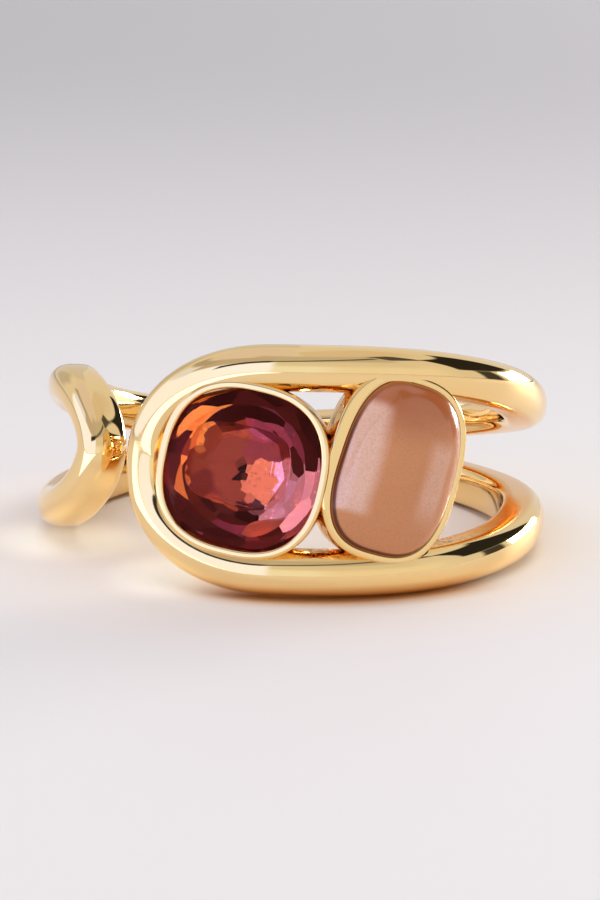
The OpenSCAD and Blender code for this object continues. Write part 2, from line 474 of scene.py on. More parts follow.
@dataclass(frozen=True)
class PolishedGold(Finish):
    """Mirror-polished yellow gold with hairlines and faint waves, and painted reflection and shade in its
    crevices.

    A dark mottle marks the crevices at the front, near the cups.
    """

    name: ClassVar[str] = "polished_gold"
    tint: Colour = (0.97, 0.70, 0.33)
    deep: Colour = (0.96, 0.67, 0.30)
    # Deep orange of the painted reflection and shade in the crevices.
    painted_amber: Colour = (0.84, 0.38, 0.06)
    dark_mottle: Colour = (0.22, 0.07, 0.015)
    cloud_scale: float = 260.0
    hair_scale: float = 1500.0
    hair_stretch: float = 9.0
    hair_height: float = 0.12
    wave_scale: float = 420.0
    rough: float = 0.045
    wear: float = 0.05
    dull: float = 0.1
    cups_from: Pair = (-0.0055, -0.0085)
    amber_share: float = 0.75
    mottle_grain: float = 2600.0
    mottle_edge: Pair = (0.46, 0.62)

    def surface(self, net: Net) -> Node:
        """Builds the surface shader.

        Args:
            net: the material's tree.
        Returns:
            The shader's last node.
        """
        where = net.add("ShaderNodeTexCoord")["Object"]
        soft_patch = net.noise(where, self.cloud_scale, 3)
        hair = net.noise(net.vector("MULTIPLY", where, (1.0, 1.0, self.hair_stretch)), self.hair_scale)
        colour = net.blend(soft_patch.ramp(0.35, 0.7), self.tint, self.deep)
        # Painted reflection and shade: the gold turns deep orange by the stored share, as gold mirroring gold
        # and the shade in its crevices would make it, most at the front.
        crevice_shade = net.add("ShaderNodeAttribute", {"attribute_name": CREVICE_SHADE})["Fac"]
        front = net.parts(where)[1].ramp(*self.cups_from)
        # A dark mottle over the crevices at the front.
        mottle = front * net.noise(where, self.mottle_grain, 3, 0.7).ramp(*self.mottle_edge)
        share = self.amber_share + (1 - self.amber_share) * front
        colour = net.blend(crevice_shade * share, colour, self.painted_amber)
        colour = net.blend(crevice_shade * mottle, colour, self.dark_mottle)
        height = net.noise(where, self.wave_scale, 1) + self.hair_height * hair
        bump = net.add("ShaderNodeBump", {}, {"Strength": 0.05, "Distance": 0.00004, "Height": height})[0]
        return net.add(
            "ShaderNodeBsdfPrincipled",
            {},
            {
                "Base Color": colour,
                "Metallic": 1.0,
                "Roughness": self.rough + self.wear * hair.ramp(0.5, 0.8) + self.dull * crevice_shade,
                "Normal": bump,
            },
        )


@dataclass(frozen=True)
class Zone:
    """A soft patch inside a stone, in millimetres of the stone's own right and up. Some are the stone's own
    tone through the table; the orange, pink and darkest ones are painted flashes and dark facets.
    """

    centre: Pair
    size: Pair
    colour: Colour


def stone_plane(net: Net, setting: "Setting") -> Value:
    """Where a point lies in a setting's own frame: right, up and outwards, in millimetres.

    Args:
        net: the material's tree.
        setting: the setting.
    Returns:
        The place.
    """
    origin, *ends = setting.on_ring(np.array([[0, 0, 0], [1, 0, 0], [0, 1, 0], [0, 0, 1]]))
    offset = net.vector("SUBTRACT", net.add("ShaderNodeTexCoord")["Object"], tuple(map(float, origin)))
    axes = [net.vector("DOT_PRODUCT", offset, tuple((end - origin) / MM**2), output="Value") for end in ends]
    return net.joined(*axes)


@dataclass(frozen=True)
class GarnetGlass(Finish):
    """Dark garnet glass: a clear crown over a backed pavilion of plum and red shards, with painted flashes of
    orange and pink, painted dark facets and a painted glow.

    The window is what shows through the table. Its shards are small, and those outside it run along the
    rim. A pair called from or edge says where a mask starts and where it is full.
    """

    name: ClassVar[str] = "garnet_glass"
    setting: "Setting"
    plum: Colour = (0.055, 0.007, 0.006)
    wine: Colour = (0.16, 0.017, 0.016)
    window_centre: Pair = (-0.3, 0.1)
    window: Pair = (1.95, 1.5)
    window_power: float = 4.0
    turns: float = 1.9
    steps: float = 2.8
    core_steps: float = 3.0
    window_edge: Pair = (1.05, 0.95)
    wine_from: Pair = (0.45, 0.75)
    dark_from: Pair = (0.30, 0.22)
    zone_edge: float = 0.1
    speck_scale: float = 6.0
    bright_speck: Pair = (0.56, 0.72)
    dark_speck: Pair = (0.42, 0.34)
    dark_share: float = 0.7
    # Base level of the painted facet light.
    shade: float = 0.9
    speck_share: float = 0.45
    # Strength of the painted glow that the backing emits, and how much less of it in the window.
    glow: float = 0.55
    window_glow: float = 0.25
    metal: float = 0.5
    window_metal: float = 0.3
    lean: float = 0.3
    girdle_edge: float = 0.01
    # Body tones of the table, with painted flashes in orange and pink and painted dark facets.
    tones_and_flashes: tuple[Zone, ...] = (
        Zone((-0.8, 0.0), (1.6, 1.6), (0.27, 0.040, 0.018)),
        Zone((-1.6, -1.2), (0.8, 0.7), (0.19, 0.024, 0.016)),
        Zone((0.75, 0.9), (0.9, 0.6), (0.26, 0.034, 0.030)),
        Zone((1.95, -0.5), (1.2, 1.45), (1.0, 0.34, 0.40)),
        Zone((2.35, 0.2), (0.15, 0.5), (0.06, 0.004, 0.005)),
        Zone((0.68, -0.35), (0.6, 0.85), (0.80, 0.165, 0.072)),
        Zone((-0.08, -0.1), (0.2, 0.5), (0.02, 0.004, 0.002)),
        Zone((-2.1, 1.1), (0.5, 0.9), (1.0, 0.27, 0.06)),
        Zone((-2.35, -1.0), (0.28, 0.6), (0.85, 0.22, 0.055)),
        Zone((-2.7, 0.0), (0.22, 0.5), (0.10, 0.012, 0.010)),
        Zone((0.85, -1.95), (0.5, 0.35), (0.36, 0.070, 0.045)),
        Zone((0.8, 1.95), (1.6, 0.7), (0.26, 0.040, 0.065)),
        Zone((-0.6, -2.3), (1.1, 0.5), (0.22, 0.032, 0.060)),
    )

    def shards(self, net: Net, where: Value) -> tuple[Value, Value, Value]:
        """Flat polygons that broaden along the rim.

        Args:
            net: the material's tree.
            where: the place in the stone's own frame.
        Returns:
            Each shard's middle, its random colour and the share of the window.
        """
        x, y, _ = net.parts(where)
        radius = (x * x + y * y) ** 0.5
        angle = net.math("ARCTAN2", y, x)
        bent = net.joined(angle * self.turns, radius * self.steps, 0.0)
        ring = net.add("ShaderNodeTexVoronoi", {"feature": "F1"}, {"Vector": bent, "Scale": 1.0})
        found_turn, found_reach, _ = net.parts(ring["Position"])
        turn, reach = found_turn / self.turns, found_reach / self.steps
        middle = net.joined(reach * net.math("COSINE", turn), reach * net.math("SINE", turn), 0.0)
        flat = net.vector("MULTIPLY", where, (1.0, 1.0, 0.0))
        core = net.add("ShaderNodeTexVoronoi", {"feature": "F1"}, {"Vector": flat, "Scale": self.core_steps})
        offset = net.vector("SUBTRACT", where, (*self.window_centre, 0.0))
        across, up, _ = net.parts(net.vector("ABSOLUTE", offset))
        across, up = across / self.window[0], up / self.window[1]
        window = (across**self.window_power + up**self.window_power).ramp(*self.window_edge)
        middle = net.blend(window, middle, core["Position"])
        chance = net.blend(window, ring["Color"], core["Color"])
        return middle, chance, window

    def surface(self, net: Net) -> Node:
        """Builds the surface shader.

        Args:
            net: the material's tree.
        Returns:
            The shader's last node.
        """
        where = stone_plane(net, self.setting)
        middle, chance, window = self.shards(net, where)
        parts = net.add("ShaderNodeSeparateColor", {}, {0: chance})
        colour = net.blend(parts[0].ramp(*self.wine_from), self.plum, self.wine)
        # Painted flashes and dark facets over the body tones.
        for tone_or_flash in self.tones_and_flashes:
            colour = net.blend(net.spot(middle, tone_or_flash.centre, tone_or_flash.size, self.zone_edge), colour, tone_or_flash.colour)
        speck = net.noise(where, self.speck_scale, 3, 0.7)
        fleck = speck.ramp(*self.bright_speck) - self.dark_share * window * speck.ramp(*self.dark_speck)
        outside = 1.0 - window
        # Painted dark facets among the shards outside the window.
        colour = net.blend(outside * parts[2].ramp(*self.dark_from), colour, self.plum)
        # Painted facet light: each shard outside the window brighter or darker at random, with bright and
        # dark specks.
        shade = self.shade + outside * (parts[1] - 0.5) + self.speck_share * fleck
        colour = net.shaded(colour, shade)
        crown = net.add(
            "ShaderNodeBsdfPrincipled",
            {},
            {
                "Base Color": (0.98, 0.92, 0.9, 1.0),
                "Roughness": 0.0,
                "IOR": 1.6,
                "Specular Tint": (0.12, 0.06, 0.06, 1.0),
                "Transmission Weight": 1.0,
            },
        )
        # Painted glow: the backing emits its own colour, less in the window.
        glow = net.shaded(colour, self.glow - self.window_glow * window)
        lean = net.scaled(net.vector("SUBTRACT", chance, (0.5, 0.5, 0.5)), self.lean * outside)
        lean = net.vector("ADD", net.add("ShaderNodeNewGeometry")["Normal"], lean)
        backing = net.add(
            "ShaderNodeBsdfPrincipled",
            {},
            {
                "Base Color": colour,
                "Metallic": self.metal + self.window_metal * window,
                "Roughness": 0.1,
                "Specular Tint": (0.2, 0.1, 0.1, 1.0),
                "Emission Color": glow,
                "Emission Strength": 1.0,
                "Normal": net.vector("NORMALIZE", lean),
            },
        )
        girdle, edge = self.setting.girdle_top, self.girdle_edge
        below = net.parts(where)[2].ramp(girdle + edge, girdle - edge)
        return net.add("ShaderNodeMixShader", {}, {0: below, 1: crown[0], 2: backing[0]})


@dataclass(frozen=True)
class WindowReflection:
    """A painted reflection of a window: a pale upright patch in the cabochon, in millimetres of its own right
    and up.

    Each row says where the patch starts, where it is full, where it fades and where it ends.
    """

    across: tuple[float, float, float, float]
    up: tuple[float, float, float, float]
    drift: float
    share: float

    def mask(self, x: Value, y: Value, drift: Value) -> Value:
        """The patch's share at a place.

        Args:
            x: place to the right.
            y: place upwards.
            drift: noise that bends its sides.
        Returns:
            The mask.
        """
        return self.share * ((x + self.drift * drift).span(*self.across) * y.span(*self.up))


@dataclass(frozen=True)
class PeachGlass(Finish):
    """Milky peach-brown glass: deeper at the top, with painted window reflections at both sides, a painted
    orange reflection at its foot and painted shade in dark lines at its foot.

    A pair called from or edge says where a mask starts and where it is full.
    """

    name: ClassVar[str] = "peach_glass"
    setting: "Setting"
    body: Colour = (0.66, 0.25, 0.085)
    top: Colour = (0.40, 0.10, 0.028)
    # Orange of the painted reflection at the foot, and the dark of the painted shade under the rim.
    foot: Colour = (0.66, 0.22, 0.045)
    line: Colour = (0.11, 0.018, 0.003)
    # Colour of the painted window reflections.
    reflected_window: Colour = (0.88, 0.54, 0.40)
    drift_scale: float = 0.8
    top_from: Pair = (1.0, 3.4)
    top_share: float = 0.85
    top_drift: float = 0.9
    top_lean: float = 0.15
    grain_scale: float = 11.0
    grain_edge: Pair = (0.42, 0.68)
    grain_share: float = 0.22
    foot_from: Pair = (0.24, 0.06)
    foot_share: float = 0.9
    line_heights: tuple[float, float, float, float] = (0.0, 0.10, 0.18, 0.26)
    line_least: float = 0.4
    line_gain: float = 0.55
    line_from: Pair = (2.0, -1.5)
    lip_from: Pair = (0.05, 0.01)
    lip_share: float = 0.85
    matt_from: Pair = (0.34, 0.06)
    matt_share: float = 0.97
    # Painted reflections of windows, at the left and the right.
    window_reflections: tuple[WindowReflection, ...] = (
        WindowReflection((-2.3, -2.05, -1.3, -0.6), (-2.3, -1.9, 2.1, 2.6), 0.3, 0.82),
        WindowReflection((0.8, 1.4, 1.9, 2.2), (-2.4, -0.8, 0.9, 1.8), 0.2, 0.5),
    )

    def surface(self, net: Net) -> Node:
        """Builds the surface shader.

        Args:
            net: the material's tree.
        Returns:
            The shader's last node.
        """
        where = stone_plane(net, self.setting)
        x, y, z = net.parts(where)
        drift = net.noise(where, self.drift_scale, 3)
        grain = net.noise(where, self.grain_scale, 3, 0.7)
        height = y + self.top_drift * drift - self.top_lean * x
        colour = net.blend(self.top_share * height.ramp(*self.top_from), self.body, self.top)
        # Painted window reflections.
        for soft_patch in self.window_reflections:
            colour = net.blend(soft_patch.mask(x, y, drift), colour, self.reflected_window)
        colour = net.blend(self.grain_share * grain.ramp(*self.grain_edge), colour, self.top)
        foot, lip, matt = (z.ramp(*heights) for heights in (self.foot_from, self.lip_from, self.matt_from))
        # Painted reflection: an orange band at the foot, where the rim's bevel mirrors the stone.
        colour = net.blend(self.foot_share * foot, colour, self.foot)
        # Painted shade: dark lines under the rim, strongest at the lower left, darkest at the lip.
        share = self.line_least + self.line_gain * (x + y).ramp(*self.line_from)
        colour = net.blend(z.span(*self.line_heights) * share, colour, self.line)
        colour = net.blend(self.lip_share * lip, colour, self.line)
        return net.add(
            "ShaderNodeBsdfPrincipled",
            {},
            {
                "Base Color": colour,
                "Roughness": 0.25,
                "IOR": 1.5,
                "Specular IOR Level": 0.15,
                "Transmission Weight": 0.1,
                "Coat Weight": 1.0 - self.matt_share * matt,
                "Coat Roughness": 0.02,
                "Coat IOR": 1.55,
            },
        )


# The wire.


@dataclass
class WireLoop:
    """The closed loop of domed wire, its rails run together in a solid shank at the back.

    Angles run round the ring in degrees, 0 at the front and 90 at its right. The web fills the shank. The
    flank is the share of the half width over which the wire's sides take painted shade and reflection.
    """

    hole_d: float = 17.5
    wire_out: float = 0.97
    wire_in: float = 0.89
    widths: tuple[Pair, ...] = ((-60, 0.94), (60, 0.94), (180, 0.82), (270, 0.86), (330, 0.86))
    dome_power: float = 2.35
    flat_power: float = 4.0
    front_tip: float = -41.6
    second_tip: float = 309.7
    front_round: float = 5.2
    second_round: float = 5.4
    front_power: float = 2.15
    second_power: float = 1.85
    second_lift: float = 0.43
    lift_from: float = 235.0
    second_tuck: float = 0.35
    tuck_from: float = 215.0
    tuck_to: float = 262.0
    spread_front: float = 4.07
    spread_right: float = 2.28
    spread_back: float = 0.5
    spread_left: float = 2.41
    web_from: float = 158.0
    web_to: float = 203.0
    web_ramp: float = 14.0
    web_share: float = 0.96
    web_steps: int = 72
    flank: Pair = (0.84, 0.995)
    end_steps: int = 40
    rail_steps: int = 200
    sides: int = 64
    rails: list[Pair] = field(init=False)

    def __post_init__(self) -> None:
        """Works out the table of half distances between the rails."""
        front, right, back, left = self.spread_front, self.spread_right, self.spread_back, self.spread_left
        self.rails = [
            (-45, 0.95 * front), (0, front), (30, 0.97 * front), (60, 0.81 * front), (90, right),
            (137, 0.57 * right), (180, back), (222, 0.49 * left), (270, left), (300, 1.25 * left),
        ]  # fmt: skip

    @property
    def centre_r(self) -> float:
        """Radius of the wire's centre line."""
        return self.hole_d / 2 + self.wire_in

    def along(self, angle: float) -> float:
        """Length along the centre line up to an angle."""
        return math.radians(angle) * self.centre_r

    def angle_at(self, s: np.ndarray) -> np.ndarray:
        """Angle at a length along the centre line."""
        return np.degrees(s / self.centre_r)

    def half_width(self, angle: np.ndarray) -> np.ndarray:
        """Half width of the wire at angles round the ring."""
        at, width = zip(*self.widths)
        return np.interp(angle, at, width)

    def spread_at(self, angle: np.ndarray) -> np.ndarray:
        """Half distance between the rails, as a smooth curve through the table.

        Args:
            angle: angles round the ring.
        Returns:
            The half distance at each.
        """
        at, value = (np.array(column, float) for column in zip(*self.rails))
        rows, last = np.arange(len(at)), len(at) - 1
        back, ahead = np.maximum(rows - 1, 0), np.minimum(rows + 1, last)
        slope = (value[ahead] - value[back]) / (at[ahead] - at[back])
        row = np.clip(np.searchsorted(at, angle) - 1, 0, last - 1)
        gap = at[row + 1] - at[row]
        u = np.clip((angle - at[row]) / gap, 0, 1)
        return (
            value[row] * (1 - smooth(u))
            + value[row + 1] * smooth(u)
            + gap * slope[row] * u * (1 - u) ** 2
            - gap * slope[row + 1] * u * u * (1 - u)
        )

    def lift_at(self, angle: np.ndarray) -> np.ndarray:
        """How far the second end is sprung up."""
        return self.second_lift * smooth((angle - self.lift_from) / (self.second_tip - self.lift_from))

    def tuck_at(self, angle: np.ndarray, z: np.ndarray) -> np.ndarray:
        """How far the second end's upper rail is drawn in."""
        share = smooth((angle - self.tuck_from) / (self.tuck_to - self.tuck_from))
        return self.second_tuck * share * ((z - self.lift_at(angle)) / self.spread_at(angle) + 1) / 2

    def end_path(self, start: float, size: float, power: float, t: np.ndarray, side: int) -> np.ndarray:
        """One quarter of a rounded end, unrolled.

        Args:
            start: length along the ring where the end starts.
            size: length in which it rounds off.
            power: its squareness.
            t: angles from 0 at the tip to a right angle, in radians.
            side: 1 for the upper rail and -1 for the lower.
        Returns:
            Rows of length along the ring and height.
        """
        s = start + size * (1 - np.cos(t) ** (2 / power))
        angle = self.angle_at(s)
        return np.stack([s, side * self.spread_at(angle) * np.sin(t) ** (2 / power) + self.lift_at(angle)], 1)

    def rail_path(self, side: int) -> np.ndarray:
        """One rail from the front tip to the second tip, unrolled.

        Args:
            side: 1 for the upper rail and -1 for the lower.
        Returns:
            Rows of length along the ring and height.
        """
        first = self.along(self.front_tip) + self.half_width(self.front_tip)
        last = self.along(self.second_tip) - self.half_width(self.second_tip)
        t = np.linspace(0, math.pi / 2, self.end_steps, endpoint=False)
        s = np.linspace(first + self.front_round, last - self.second_round, self.rail_steps)
        angle = self.angle_at(s)
        middle = np.stack([s, side * self.spread_at(angle) + self.lift_at(angle)], 1)
        return np.concatenate([
            self.end_path(first, self.front_round, self.front_power, t, side),
            middle,
            self.end_path(last, -self.second_round, self.second_power, t, side)[::-1],
        ])

    def loop_path(self) -> np.ndarray:
        """The whole closed loop, unrolled: the upper rail out and the lower rail back."""
        return np.concatenate([self.rail_path(1), self.rail_path(-1)[-2:0:-1]])

    def centre_line(self) -> bpy.types.Mesh:
        """The loop's points, each with its outward and sideways directions and its half width.

        Returns:
            A mesh of loose points.
        """
        path = self.loop_path()
        way = np.roll(path, -1, 0) - np.roll(path, 1, 0)
        way /= np.linalg.norm(way, axis=1)[:, None]
        a = path[:, 0] / self.centre_r
        zero = np.zeros_like(a)
        out = np.stack([np.sin(a), -np.cos(a), zero], 1)
        across = np.stack([way[:, 1] * np.cos(a), way[:, 1] * np.sin(a), -way[:, 0]], 1)
        angle = np.degrees(a)
        radius = self.centre_r - self.tuck_at(angle, path[:, 1])
        points = out * radius[:, None] + np.stack([zero, zero, path[:, 1]], 1)
        mesh = make_mesh("wire_centre_line", SEAT.place(points), [])
        for name, rows in {"out": SEAT.direct(out), "across": SEAT.direct(across)}.items():
            mesh.attributes.new(name, "FLOAT_VECTOR", "POINT").data.foreach_set("vector", rows.ravel())
        width = mesh.attributes.new("half_width", "FLOAT", "POINT")
        width.data.foreach_set("value", self.half_width(angle) * MM)
        return mesh

    def tree(self) -> bpy.types.NodeTree:
        """Geometry tree that wraps the wire's section round each point of the centre line.

        Returns:
            The tree.
        """
        tree = bpy.data.node_groups.new("wire_section_along_loop", "GeometryNodeTree")
        net = Net(tree)
        for name, kind in {
            "Centre line": "NodeSocketGeometry",
            "Rings": "NodeSocketInt",
            "Sides": "NodeSocketInt",
            "Depth outside": "NodeSocketFloat",
            "Depth inside": "NodeSocketFloat",
            "Dome squareness": "NodeSocketFloat",
            "Flat squareness": "NodeSocketFloat",
            "Finish": "NodeSocketMaterial",
        }.items():
            tree.interface.new_socket(name, in_out="INPUT", socket_type=kind)
        tree.interface.new_socket("Wire", in_out="OUTPUT", socket_type="NodeSocketGeometry")
        given = net.add("NodeGroupInput")
        rings, sides = given["Rings"], given["Sides"]
        grid = net.add("GeometryNodeMeshGrid", {}, {"Vertices X": rings + 1.0, "Vertices Y": sides + 1.0})
        index = net.add("GeometryNodeInputIndex")[0]
        ring = net.math("MODULO", net.math("FLOOR", (index + 0.5) / (sides + 1.0)), rings)
        side = net.math("MODULO", net.math("MODULO", index, sides + 1.0), sides)
        turn = (side + 0.5) * (2 * math.pi) / sides
        c, s = net.math("COSINE", turn), net.math("SINE", turn)
        outside = c > 0.0
        power = 2.0 / (outside * given["Dome squareness"] + (1.0 - outside) * given["Flat squareness"])
        depth = outside * given["Depth outside"] + (1.0 - outside) * given["Depth inside"]
        rise = net.math("SIGN", c) * net.math("ABSOLUTE", c) ** power * depth
        reach = net.math("SIGN", s) * net.math("ABSOLUTE", s) ** power

        def sample(source: Value, kind: str) -> Value:
            """A value of the centre line at this ring."""
            sockets = {"Geometry": given["Centre line"], "Value": source, "Index": ring}
            return net.add("GeometryNodeSampleIndex", {"data_type": kind, "domain": "POINT"}, sockets)[0]

        def stored(name: str, kind: str = "FLOAT_VECTOR") -> Value:
            """An attribute of the centre line at this ring."""
            named = net.add("GeometryNodeInputNamedAttribute", {"data_type": kind}, {"Name": name})[0]
            return sample(named, kind)

        place = sample(net.add("GeometryNodeInputPosition")[0], "FLOAT_VECTOR")
        place = net.vector("ADD", place, net.scaled(stored("out"), rise))
        sideways = net.scaled(stored("across"), reach * stored("half_width", "FLOAT"))
        place = net.vector("ADD", place, sideways)
        skin = net.add("GeometryNodeSetPosition", {}, {"Geometry": grid["Mesh"], "Position": place})[0]
        # The wire's flanks get the share of painted shade and reflection.
        settings = {"data_type": "FLOAT", "domain": "POINT"}
        crevice_shade = {"Geometry": skin, "Name": CREVICE_SHADE, "Value": reach.ramp(*self.flank)}
        skin = net.add("GeometryNodeStoreNamedAttribute", settings, crevice_shade)[0]
        for kind, sockets in {
            "GeometryNodeMergeByDistance": {"Distance": 1e-7},
            "GeometryNodeFlipFaces": {},
            "GeometryNodeSetShadeSmooth": {},
            "GeometryNodeRealizeInstances": {},
            "GeometryNodeSetMaterial": {"Material": given["Finish"]},
        }.items():
            skin = net.add(kind, {}, {0: skin, **sockets})[0]
        net.add("NodeGroupOutput", {}, {0: skin})
        return tree

    def wire(self, gold: bpy.types.Material) -> bpy.types.Mesh:
        """The wire's skin, as a plain mesh.

        Args:
            gold: its finish.
        Returns:
            The mesh.
        """
        line = add_object("wire_centre_line", self.centre_line())
        modifier = line.modifiers.new("wire", "NODES")
        modifier.node_group = self.tree()
        sockets = {
            item.name: item.identifier
            for item in modifier.node_group.interface.items_tree
            if item.item_type == "SOCKET" and item.in_out == "INPUT"
        }
        for name, value in {
            "Rings": len(line.data.vertices),
            "Sides": self.sides,
            "Depth outside": self.wire_out * MM,
            "Depth inside": self.wire_in * MM,
            "Dome squareness": self.dome_power,
            "Flat squareness": self.flat_power,
            "Finish": gold,
        }.items():
            modifier[sockets[name]] = value
        line.update_tag()
        mesh = bpy.data.meshes.new_from_object(line.evaluated_get(bpy.context.evaluated_depsgraph_get()))
        line.modifiers.remove(modifier)
        bpy.data.objects.remove(line)
        return mesh

    def web(self) -> bpy.types.Mesh:
        """The solid shank that fills the grooves between the two rails at the back.

        Returns:
            Its mesh.
        """
        angle = np.linspace(self.web_from, self.web_to, self.web_steps + 1)
        spread = self.spread_at(angle)
        ratio = np.minimum(1, spread / self.half_width(angle))
        u = smooth(np.minimum(angle - self.web_from, self.web_to - angle) / self.web_ramp)

        def fill(power: float) -> np.ndarray:
            """Share of the wire's depth that is filled."""
            return self.web_share * (u + (1 - u) * (1 - ratio**power) ** (1 / power))

        a = np.radians(angle)
        out = np.stack([np.sin(a), -np.cos(a), 0 * a], 1)
        up = np.stack([0 * a, 0 * a, spread], 1)
        inner = out * (self.centre_r - self.wire_in * fill(self.flat_power))[:, None]
        outer = out * (self.centre_r + self.wire_out * fill(self.dome_power))[:, None]
        points = np.stack([inner - up, inner + up, outer + up, outer - up], 1).reshape(-1, 3)
        return make_mesh("back_web", SEAT.place(points), flat_ended(self.web_steps + 1, 4))

    def build(self, gold: bpy.types.Material) -> None:
        """Makes the wire and its web as one piece.

        Args:
            gold: their finish.
        """
        piece = add_object("wire_loop", self.wire(gold))
        web = add_object("back_web", self.web())
        web.data.materials.append(gold)
        with bpy.context.temp_override(active_object=piece, selected_editable_objects=[piece, web]):
            bpy.ops.object.join()
        finish_piece(piece, Solid.BAND)


# Settings and stones.


@dataclass
class Setting:
    """Where a stone sits on the ring, and the outline of what shows of it inside its rim.

    Its hold is how far the stone reaches under the rim's lip.
    """

    angle: float
    half_w: float
    half_h: float
    power: float
    turn: float
    lift: float = 0.0
    draw: float = 0.0
    rim_r: float = 10.55
    hold: float = 0.09
    girdle_top: float = -0.29

    def outline(self, grow: float, sides: int) -> np.ndarray:
        """The outline of the cup, offset outwards from what shows inside its rim.

        Args:
            grow: the offset.
            sides: count of points.
        Returns:
            Rows of x and y in the setting's own plane.
        """
        t = np.linspace(0, 2 * math.pi, sides, endpoint=False)
        c, s, p = np.cos(t), np.sin(t), self.power
        points = np.stack([self.half_w * signed_power(c, 2 / p), self.half_h * signed_power(s, 2 / p)], 1)
        normals = np.stack(
            [signed_power(c, 2 - 2 / p) / self.half_w, signed_power(s, 2 - 2 / p) / self.half_h], 1
        )
        return points + grow * normals / np.linalg.norm(normals, axis=1)[:, None]

    def opening(self, grow: float, sides: int, share: float = 1.0) -> np.ndarray:
        """The outline with its left side drawn in towards the top, as the mouth and the stone have it.

        Args:
            grow: the offset.
            sides: count of points.
            share: how much of the draw it has.
        Returns:
            Rows of x and y in the setting's own plane.
        """
        points = self.outline(grow, sides)
        inset = np.minimum(0, points[:, 0]) / self.half_w * (1 + points[:, 1] / self.half_h)
        points[:, 0] -= share * self.draw * inset
        return points

    def on_ring(self, points: np.ndarray) -> np.ndarray:
        """Points of the setting's own frame in the row frame.

        Args:
            points: rows of millimetres to the right, up and outwards.
        Returns:
            Rows of metres.
        """
        x, y, z = np.asarray(points, float).T
        turn, a = math.radians(self.turn), math.radians(self.angle)
        across, up = x * math.cos(turn) + y * math.sin(turn), y * math.cos(turn) - x * math.sin(turn)
        r = self.rim_r + z
        right, back = r * math.sin(a) + across * math.cos(a), across * math.sin(a) - r * math.cos(a)
        return SEAT.place(np.stack([right, back, up + self.lift], 1))


@dataclass
class Cup:
    """A closed gold cup with a rounded rim whose lip folds over the stone's edge.

    The rows of its wall say how far it stands in from the rim, and at what share of the depth.
    """

    name: str
    setting: Setting
    rim_w: float = 0.33
    rim_round: float = 0.13
    mouth_round: float = 0.1
    lip_h: float = 0.25
    depth: float = 1.35
    floor: float = 0.22
    taper: float = 0.1
    wall: tuple[Pair, ...] = ((0.10, 0.85), (0.06, 0.675), (0.02, 0.5))
    lip_step: float = 0.01
    pocket: float = 0.13
    # Painted shade and reflection under the rim: where it starts and fades in, and where and how far it
    # clears towards the back.
    edge_dark: float = -0.07
    edge_fade: float = 0.2
    back_clear: float = -0.65
    back_fade: float = 0.4
    back_share: float = 0.88
    sides: int = 240
    arc_steps: int = 6

    def arc(self, centre: Pair, radius: float, start: float, end: float) -> list[Pair]:
        """Points of an arc in the profile.

        Args:
            centre: its middle.
            radius: its radius.
            start: the angle where it starts, in degrees.
            end: the angle where it ends.
        Returns:
            The points.
        """
        turns = np.radians(np.linspace(start, end, self.arc_steps + 1))
        return [(centre[0] + radius * math.cos(t), centre[1] + radius * math.sin(t)) for t in turns]

    def outside(self) -> list[Pair]:
        """The profile from the back up the wall and over the rim.

        Returns:
            Offsets and heights.
        """
        back, edge = self.rim_w - self.taper, self.rim_round
        return [
            *self.arc((back - edge, -self.depth + edge), edge, -90, 0),
            *((self.rim_w - inset, -share * self.depth) for inset, share in self.wall),
            *self.arc((self.rim_w - edge, -edge), edge, 0, 90),
        ]

    def inside(self) -> list[Pair]:
        """The profile from the mouth down the lip to the floor of the pocket.

        Returns:
            Offsets and heights.
        """
        mouth = self.mouth_round
        return [
            *self.arc((mouth, -mouth), mouth, 90, 180),
            (0, -self.lip_h),
            (self.pocket, -self.lip_h - self.lip_step),
            (self.pocket, self.floor - self.depth),
        ]

    def crevice_shade(self, z: float) -> float:
        """Share of painted shade and reflection at a height of the profile: most under the rim, little at the
        back.

        Args:
            z: the height.
        Returns:
            The share, from 0 to 1.
        """
        under_rim = smooth((self.edge_dark - z) / self.edge_fade)
        at_back = smooth((self.back_clear - z) / self.back_fade)
        return float(under_rim * (1 - self.back_share * at_back))

    def build(self, gold: bpy.types.Material) -> None:
        """Makes the cup as a piece.

        Args:
            gold: its finish.
        """
        rings, crevices = [], []
        for share, profile in enumerate((self.outside(), self.inside())):
            for grow, z in profile:
                rings.append(at_height(self.setting.opening(grow, self.sides, share), z))
                crevices += [self.crevice_shade(z)] * self.sides
        points, faces = point_ended(rings, -self.depth, self.floor - self.depth)
        piece = add_object(self.name, make_mesh(self.name, self.setting.on_ring(points), faces))
        mark_crevice_shade(piece.data, [*crevices, self.crevice_shade(-self.depth), 1.0])
        piece.data.materials.append(gold)
        finish_piece(piece, Solid.BAND)


